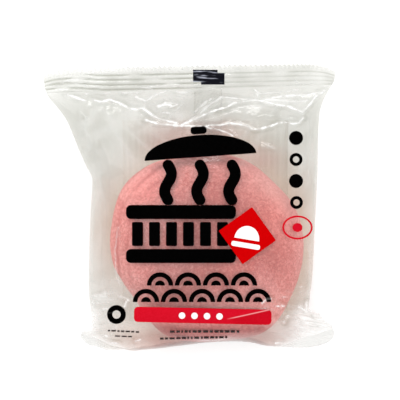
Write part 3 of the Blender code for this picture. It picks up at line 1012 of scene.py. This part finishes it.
PRINT_GAP = 0.09          # how far the print lies above the film
LABEL_GAP = 0.16
WHITE_GAP = 0.22
PRINT_STEP = 0.6
PRINT_CLEAR = 0.45        # its inner points keep this part of a step away from its outline
RING_STEP = 2.0           # points of an outline lie at most this many pixels apart
LABEL_TURN = 9.4          # degrees that the small label leans
LABEL_MIDDLE = (247.3, 235.6)
BAR_TURN = 1.3
BAR_MIDDLE = (203, 316)
BAR_FOLD = [(229.0, 318.6), (270.0, 309.6)]     # a fine fold across the red bar
ARC_PITCH = 28
ARC_ROWS = [(146, 302, 5), (160, 285.5, 4)]     # first middle, base line, number of arcs
ARC_RINGS = [(13.2, 8.6), (5.0, 0.4)]           # outer and inner radius of an arc's two parts
DASH_LENGTH = (1.8, 5.4)
DASH_GAP = (1.0, 1.8)


def densify(ring):
    """A closed ring with points no further apart than the ring step."""
    ring = np.asarray(ring, float)
    made = []
    for a, b in zip(ring, np.roll(ring, -1, axis=0)):
        parts = max(1, math.ceil(np.hypot(*(b - a)) / RING_STEP))
        made += [a + (b - a) * k / parts for k in range(parts)]
    return np.array(made)


def inside(points, rings):
    """Which points lie inside an odd number of the rings."""
    x, y = points.T
    odd = np.zeros(len(points), bool)
    for ring in rings:
        for (ax, ay), (bx, by) in zip(ring, np.roll(ring, -1, axis=0)):
            if ay == by:
                continue
            crosses = (ay > y) != (by > y)
            odd ^= crosses & (x < (bx - ax) * (y - ay) / (by - ay) + ax)
    return odd


def fill_rings(plan):
    """Points and triangles that fill the rings, with inner points a print step apart."""
    verts, edges = [], []
    for ring in plan:
        start = len(verts)
        verts += [tuple(p) for p in ring]
        edges += [(start + k, start + (k + 1) % len(ring)) for k in range(len(ring))]
    outline = np.array(verts)
    low, high = outline.min(0), outline.max(0)
    gx, gy = np.meshgrid(*(np.arange(low[k], high[k], PRINT_STEP) for k in range(2)))
    fill = np.column_stack([gx.ravel(), gy.ravel()])
    fill = fill[inside(fill, plan)]
    if len(fill):
        gap = np.array([np.min(np.hypot(*(outline - p).T)) for p in fill])
        fill = fill[gap > PRINT_CLEAR * PRINT_STEP]
    verts += [tuple(p) for p in fill]
    made = delaunay_2d_cdt(verts, edges, [], 0, 1e-5)
    points = np.array([tuple(p) for p in made[0]])
    faces = np.array(made[2])
    faces = faces[inside(points[faces].mean(axis=1), plan)]
    used = np.unique(faces)
    renumber = np.zeros(len(points), int)
    renumber[used] = np.arange(len(used))
    return points[used], renumber[faces]


def print_layer(name, rings, material, lift=PRINT_GAP):
    """One colour of the print as a thin surface that follows the film, from rings in pixels."""
    points, faces = fill_rings([at_pixels(densify(ring)) for ring in rings])
    x, y = points.T
    z = front_height(x, y) + HALF_EDGE + lift
    piece = make_object(name, np.column_stack([points, z]), faces.tolist(), material)
    (ax, ay), (bx, by) = at_pixels(BAR_FOLD)
    way = np.array([bx - ax, by - ay]) / math.hypot(bx - ax, by - ay)
    off = points - (ax, ay)
    # the film's crease whiteness, for the ink's painted highlights
    crease = crease_relief(x, y, base_front(x, row_of(x, y))[1])[1]
    add_attributes(piece, crease=crease, fold=off @ (way[1], -way[0]), along=off @ way)
    return piece


def turned(points, centre, degrees):
    a = math.radians(degrees)
    p = np.asarray(points, float) - centre
    return np.column_stack([
        p[:, 0] * math.cos(a) - p[:, 1] * math.sin(a), p[:, 0] * math.sin(a) + p[:, 1] * math.cos(a),
    ]) + centre


def oval(cx, cy, rx, ry=None, start=0, end=360, parts=40):
    ry = rx if ry is None else ry
    t = np.radians(np.linspace(start, end, parts, endpoint=end - start != 360))
    return np.column_stack([cx + rx * np.cos(t), cy + ry * np.sin(t)])


def rounded(x0, y0, x1, y1, radius):
    corners = [(x1 - radius, y1 - radius, 0), (x0 + radius, y1 - radius, 90),
               (x0 + radius, y0 + radius, 180), (x1 - radius, y0 + radius, 270)]
    return np.concatenate([oval(x, y, radius, None, a, a + 90, 6) for x, y, a in corners])


def stroke(points, width):
    """The outline of a line of this width with round ends."""
    points = np.asarray(points, float)
    way = np.gradient(points, axis=0)
    way /= np.hypot(*way.T)[:, None]
    side = np.column_stack([-way[:, 1], way[:, 0]]) * width / 2
    first = math.degrees(math.atan2(*(-side[0])[::-1]))
    last = math.degrees(math.atan2(*side[-1][::-1]))
    end = oval(*points[-1], width / 2, None, last, last - 180, 8)[1:-1]
    begin = oval(*points[0], width / 2, None, first, first - 180, 8)[1:-1]
    return np.concatenate([points + side, end, (points - side)[::-1], begin])


def steam(x, low, high, sway, width):
    t = np.linspace(0, 1, 26)
    return stroke(np.column_stack([x + sway * np.sin(t * 2 * math.pi), low + (high - low) * t]), width)


def arch(cx, base, outer, inner):
    """A half ring that stands on its base line."""
    over = oval(cx, base, outer, None, 180, 360, 22)
    return np.concatenate([over, oval(cx, base, inner, None, 360, 180, 22)])


def dashes(x0, y, x1, tall, seed, slope=0.0):
    """A row of short thick dashes of uneven lengths."""
    pick = np.random.default_rng(seed)
    made, x = [], x0
    while x < x1:
        long = pick.uniform(*DASH_LENGTH)
        top = y + slope * (x - x0) - tall / 2
        made.append([(x, top), (x + long, top), (x + long, top + tall), (x, top + tall)])
        x += long + pick.uniform(*DASH_GAP)
    return made


def black_print():
    """A steamer basket under its lid, with three wisps of steam, above two rows of arcs."""
    tilt, middle = -4.0, (200.0, 150.0)
    lid = oval(200, 157, 56, 22, 180, 360, 40)
    rings = [turned(ring, middle, tilt) for ring in (lid, rounded(192, 126.5, 208, 134.0, 3))]
    rings += [steam(x, 165, 200, 3.4, 11) for x in (168, 200, 232)]
    rings += [rounded(126, 205, 236, 219, 5), rounded(126, 249, 236, 263, 5)]
    rings += [rounded(x, 222, x + 11, 246, 1.5) for x in (132, 149, 166, 183, 200, 217)]
    for first, base, count in ARC_ROWS:
        for k in range(count):
            rings += [arch(first + ARC_PITCH * k, base, outer, inner) for outer, inner in ARC_RINGS]
    return rings


def small_black_print():
    """A column of dots and rings, and one larger ring."""
    rings = [oval(296, 138, 7), oval(296, 159.5, 6.5), oval(296, 159.5, 3.2), oval(296, 181, 7)]
    rings += [oval(296.5, 202.5, 6.5), oval(296.5, 202.5, 3.2)]
    return rings + [oval(116.5, 314.5, 9.4), oval(116.5, 314.5, 4.2)]


def fine_print():
    rings = dashes(108, 330.5, 137, 1.6, 3, 0.05) + dashes(115, 336, 131, 1.3, 4, 0.04)
    return rings + dashes(170, 331.5, 241, 2.3, 5) + dashes(160, 338.5, 228, 2.0, 6, -0.02)


def red_print():
    """The bar, and a small oval with a dot in it."""
    bar = turned(rounded(134, 308.2, 271.5, 323.4, 4), BAR_MIDDLE, BAR_TURN)
    return [bar] + [oval(297.5, 227.5, rx, ry) for rx, ry in ((15.2, 12.0), (13.4, 10.2), (5.0, 4.4))]


def diamond():
    return turned(rounded(226.8, 215.1, 267.8, 256.1, 0.8), LABEL_MIDDLE, 45.0 + LABEL_TURN)


def white_figure():
    """A plain bun on its plate on the label, and four dots on the bar."""
    marks = [turned(oval(x, 316, 3.3), BAR_MIDDLE, BAR_TURN) for x in (182, 194.5, 207, 219.5)]
    dome = oval(247.3, 239.5, 12.5, 13.5, 180, 360, 30)
    plate = rounded(232.8, 243.0, 261.8, 248.0, 2)
    return [turned(ring, LABEL_MIDDLE, LABEL_TURN) for ring in (dome, plate)] + marks


def eye_mark():
    """The registration mark: an oblong with two steps cut out of it."""
    upper = [(193, 69.8), (217.6, 69.8), (217.6, 73), (224.5, 73)]
    return [upper + [(224.5, 84.6), (201, 84.6), (201, 81.8), (193, 81.8)]]


# Materials


class Nodes:
    """A short way to build a material's nodes. Colours are red, green and blue."""

    def __init__(self, name):
        self.material = bpy.data.materials.new(name)
        self.material.use_nodes = True
        self.tree = self.material.node_tree
        self.tree.nodes.clear()
        self.place = self.node("TexCoord").outputs["Object"]

    def put(self, socket, value):
        """Link a node's output to the socket, or set a constant on it."""
        if isinstance(value, bpy.types.Node):
            value = value.outputs[0]
        if isinstance(value, bpy.types.NodeSocket):
            self.tree.links.new(value, socket)
        elif socket.type == "RGBA":
            socket.default_value = (*value, 1.0)
        else:
            socket.default_value = value

    def node(self, kind, **inputs):
        """A node with these inputs. An underscore in a name stands for a space."""
        made = self.tree.nodes.new("ShaderNode" + kind)
        for name, value in inputs.items():
            self.put(made.inputs[name.replace("_", " ")], value)
        return made

    def fill(self, made, output, inputs):
        """The node's output of this number, once the inputs are put in by their numbers."""
        for number, value in inputs.items():
            self.put(made.inputs[number], value)
        return made.outputs[output]

    def math(self, operation, a, b=0.5, clamp=False):
        made = self.node("Math")
        made.operation = operation
        made.use_clamp = clamp
        return self.fill(made, 0, {0: a, 1: b})

    def times(self, a, b):
        return self.math("MULTIPLY", a, b)

    def mix(self, share, a, b, blend="MIX"):
        made = self.node("Mix")
        made.data_type = "RGBA"
        made.blend_type = blend
        return self.fill(made, 2, {0: share, 6: a, 7: b})

    def mix_shader(self, share, a, b):
        return self.fill(self.node("MixShader"), 0, {0: share, 1: a, 2: b})

    def noise(self, scale, detail=2.0, rough=0.5, place=None):
        place = self.place if place is None else place
        made = self.node("TexNoise", Scale=scale, Detail=detail, Roughness=rough, Vector=place)
        return made.outputs["Fac"]

    def bump(self, height, strength, distance):
        return self.node("Bump", Strength=strength, Distance=distance, Height=height)

    def attribute(self, name):
        made = self.node("Attribute")
        made.attribute_name = name
        return made.outputs["Fac"]

    def spread(self, value, low, high, to_low=0.0, to_high=1.0):
        """The range of a value from low to high, spread over another range."""
        return self.node("MapRange", Value=value, From_Min=low, From_Max=high, To_Min=to_low, To_Max=to_high)

    def principled(self, colour, rough, shine, **others):
        inputs = {"Base_Color": colour, "Roughness": rough, "Specular_IOR_Level": shine}
        return self.node("BsdfPrincipled", **inputs, **others)

    def mirror(self, least):
        """How much a thin film mirrors, the same from both its sides."""
        facing = self.node("LayerWeight", Blend=0.5).outputs["Facing"]
        return self.math("ADD", self.times(self.math("POWER", facing, 5.0), 0.92), least)

    def finish(self, shader):
        self.node("OutputMaterial", Surface=shader)
        return self.material


def film_material(name, cloudy, mirror=0.045):
    """Clear film: each sheet tints what is behind it, with painted shade, painted reflections of the bun,
    and painted highlights that whiten its creases.
    """
    n = Nodes(name)
    crease = n.attribute("crease")
    # dense colours: grey film tint, warmed by painted reflection near the bun, then painted bun colour and
    # painted shade
    near_bun = n.attribute("blush")
    dense = n.mix(near_bun, (0.668, 0.673, 0.632), (0.680, 0.585, 0.490))
    dense = n.mix(n.attribute("gathered"), dense, (0.64, 0.425, 0.385))
    tint = n.mix(n.attribute("shade"), (0.988, 0.988, 0.982), dense)
    tint = n.mix(n.attribute("deep"), tint, (0.665, 0.460, 0.420), "MULTIPLY")
    # the milky part: grey, pinker with painted reflection near the bun, and white painted highlights along
    # the creases
    cast = n.mix(near_bun, (0.62, 0.62, 0.60), (0.72, 0.50, 0.45))
    pale = n.principled(n.mix(crease, cast, (0.97, 0.97, 0.955)), 0.45, 0.3)
    cloud = n.spread(n.noise(60.0, 3.0, 0.6), 0.35, 0.7, 0.2 * cloudy, cloudy)
    milky = n.math("ADD", n.times(crease, 0.85), cloud, clamp=True)
    body = n.mix_shader(milky, n.node("BsdfTransparent", Color=tint), pale)
    ripple = n.bump(n.noise(420.0), 0.25, 0.0004)
    shine = n.node("BsdfGlossy", Color=(1, 1, 1), Roughness=0.13, Normal=ripple)
    return n.finish(n.mix_shader(n.mirror(mirror), body, shine))


def bun_material():
    """Pink dough, in layers: how much of each, and its colour. Some layers are painted light and painted
    shade.
    """
    n = Nodes("steamed_dough")
    fine = n.noise(1300.0, 4.0, 0.7)
    speck = n.noise(2600.0, 2.0, 0.6)
    mottle = n.noise(820.0, 2.0, 0.55)
    veins = n.math("ABSOLUTE", n.math("SUBTRACT", n.noise(520.0, 3.0, 0.6), 0.5))
    # less mottling where the rim has painted light
    calm = n.math("SUBTRACT", 1.0, n.times(n.attribute("pale"), 0.62))
    pink = n.mix(n.spread(n.noise(70.0, 4.0, 0.6), 0.38, 0.62), (0.60, 0.180, 0.165), (0.80, 0.265, 0.245))
    layers = [
        (n.attribute("rim"), (0.93, 0.365, 0.340)),
        # painted light on the bun's rim at its upper right and upper left
        (n.attribute("pale"), (1.0, 0.52, 0.49)),
        (n.spread(fine, 0.46, 0.66, 0.0, 0.50), (1.0, 0.50, 0.46)),
        (n.times(n.spread(mottle, 0.53, 0.64, 0.0, 0.42), calm), (0.62, 0.150, 0.135)),
        (n.spread(mottle, 0.46, 0.36, 0.0, 0.45), (1.0, 0.50, 0.46)),
        (n.times(n.spread(veins, 0.0, 0.07, 0.55, 0.0), calm), (0.56, 0.145, 0.130)),
        (n.times(n.spread(speck, 0.54, 0.66, 0.0, 0.62), calm), (0.46, 0.100, 0.090)),
        # painted shade in the wrinkles of the dough
        (n.times(n.attribute("groove"), 0.75), (0.55, 0.115, 0.105)),
    ]
    for share, colour in layers:
        pink = n.mix(share, pink, colour)
    # painted shade: the bun's shade spots and its bottom, from the low attribute
    pink = n.mix(n.attribute("low"), pink, (0.53, 0.36, 0.36), "MULTIPLY")
    pink = n.mix(n.attribute("flush"), pink, (1.0, 0.77, 0.75), "MULTIPLY")
    skin = n.bump(n.math("ADD", n.times(fine, 0.7), n.times(speck, 0.3)), 0.5, 0.0006)
    return n.finish(n.principled(pink, n.spread(fine, 0.3, 0.7, 0.62, 0.8), 0.25, Normal=skin))


def ink_material(name, colour, shade, gloss=0.03, folded=False):
    """Ink between two colours, with painted highlights along the film's creases, or along the bar's fold a
    painted highlight line with painted shade beyond it.
    """
    n = Nodes(name)
    ink = n.mix(n.spread(n.noise(1400.0), 0.35, 0.7), colour, shade)
    if folded:
        fold, along = n.attribute("fold"), n.attribute("along")
        # painted shade beyond the bar's fold, and a painted highlight line along it
        beyond = n.times(n.spread(fold, 0.0, 0.35), n.spread(along, 0.0, 3.0))
        ink = n.mix(n.times(beyond, 0.30), ink, (0.36, 0.0005, 0.002))
        line = n.spread(n.math("ABSOLUTE", fold), 0.05, 0.34, 0.62, 0.0)
        ink = n.mix(n.times(line, n.spread(along, -1.0, 2.5)), ink, (0.93, 0.50, 0.50))
    else:
        # painted highlights along the film's creases
        ink = n.mix(n.spread(n.attribute("crease"), 0.30, 1.0, 0.0, 0.15), ink, (0.80, 0.70, 0.69))
    return n.finish(n.principled(ink, 0.30, gloss))


def mark_material():
    """Black ink on the crimped seal, with painted glints along the ribs."""
    n = Nodes("crimped_ink")
    stretch = n.node("Mapping", Vector=n.place, Scale=(130.0, 1150.0, 100.0))
    streak = n.spread(n.noise(1.0, place=stretch), 0.56, 0.72)
    return n.finish(n.principled(n.mix(streak, (0.003, 0.003, 0.007), (0.45, 0.47, 0.56)), 0.30, 0.06))


def liner_material():
    n = Nodes("clear_liner")
    # the rib attribute darkens the clear liner: painted shade
    tint = n.mix(n.attribute("rib"), (0.972, 0.967, 0.952), (0.842, 0.815, 0.780))
    pale = n.principled((0.9, 0.9, 0.88), 0.3, 0.5)
    cloud = n.spread(n.noise(90.0), 0.3, 0.7, 0.03, 0.12)
    return n.finish(n.mix_shader(cloud, n.node("BsdfTransparent", Color=tint), pale))


def floor_material():
    """A pale floor that glows a little, so that it comes out white."""
    n = Nodes("pale_floor")
    grain = n.mix(n.noise(300.0), (0.62, 0.62, 0.617), (0.635, 0.635, 0.632))
    return n.finish(n.principled(grain, 0.9, 0.0, Emission_Color=(1, 1, 1), Emission_Strength=0.50))


# Put the pieces together

INK_BLACK = ink_material("black_ink", (0.0004, 0.0004, 0.0004), (0.0014, 0.0012, 0.0012), 0.0)
INK_GREY = ink_material("fine_black_ink", (0.030, 0.022, 0.022), (0.050, 0.038, 0.036), 0.0)
INK_RED = ink_material("red_ink", (0.585, 0.0045, 0.016), (0.64, 0.007, 0.023), 0.0, True)
INK_DEEP_RED = ink_material("deep_red_ink", (0.525, 0.0003, 0.001), (0.575, 0.0006, 0.0015), 0.0)
INK_WHITE = ink_material("white_ink", (0.90, 0.86, 0.85), (0.94, 0.92, 0.91))

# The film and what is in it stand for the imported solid
contents = [
    (make_film(film_material("clear_film", 0.09)), "film"),
    (make_back_seam(film_material("clear_seam", 0.010, 0.022)), "film"),
    (make_bun(bun_material()), "bun"),
    (make_liner(liner_material()), "film"),
]
for piece, slot in contents:
    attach(piece, "root")
    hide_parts("sealed_pack")

pieces = [
    (print_layer("print_black", black_print(), INK_BLACK), "print_black"),
    (print_layer("print_small", small_black_print(), INK_BLACK), "print_black"),
    (print_layer("print_fine", fine_print(), INK_GREY), "print_black"),
    (print_layer("print_registration", eye_mark(), mark_material()), "print_black"),
    (print_layer("print_red", red_print(), INK_RED), "print_red"),
    (print_layer("print_diamond", [diamond()], INK_DEEP_RED, LABEL_GAP), "print_red"),
    (print_layer("print_white", white_figure(), INK_WHITE, WHITE_GAP), "print_white"),
]
for piece, slot in pieces:
    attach(piece, "root")

# Floor, lights and camera

FLOOR_HALF = 1500.0
FLOOR_DROP = 0.0002       # metres below the surface that the pack lies on, so that the two don't meet
FLOOR_SIGNS = ((-1, -1, 0), (1, -1, 0), (1, 1, 0), (-1, 1, 0))
floor = make_object("floor", FLOOR_HALF * np.array(FLOOR_SIGNS), [(0, 1, 2, 3)], floor_material())
floor.location.z = -FLOOR_DROP


def area_light(name, place, size, power, target=(0.0, 0.0, 0.01)):
    """A soft rectangular light, in metres and watts, that faces its target."""
    data = bpy.data.lights.new(name, "AREA")
    data.shape = "RECTANGLE"
    data.size, data.size_y = size
    data.energy = power
    made = bpy.data.objects.new(name, data)
    made.location = place
    made.rotation_mode = "QUATERNION"
    made.rotation_quaternion = (Vector(target) - Vector(place)).to_track_quat("-Z", "Y")
    bpy.context.scene.collection.objects.link(made)


area_light("key", (-0.50, 0.46, 0.70), (0.85, 0.85), 3.0)
area_light("fill", (0.42, -0.62, 0.62), (0.85, 0.85), 2.1)
area_light("strip", (0.0, 0.62, 0.50), (0.9, 0.06), 1.2)

world = bpy.data.worlds.new("studio")
world.use_nodes = True
background = world.node_tree.nodes["Background"]
background.inputs["Color"].default_value = (1, 1, 1, 1)
background.inputs["Strength"].default_value = 0.86
bpy.context.scene.world = world
bpy.context.scene.view_settings.view_transform = "Standard"

camera_data = bpy.data.cameras.new("camera")
camera_data.sensor_width = SENSOR
camera_data.lens = FOCAL_PIXELS / PICTURE * SENSOR
camera_data.clip_start, camera_data.clip_end = 0.01, 10.0
camera = bpy.data.objects.new("camera", camera_data)
camera.location = [c * MM for c in CAMERA]
bpy.context.scene.collection.objects.link(camera)
bpy.context.scene.camera = camera
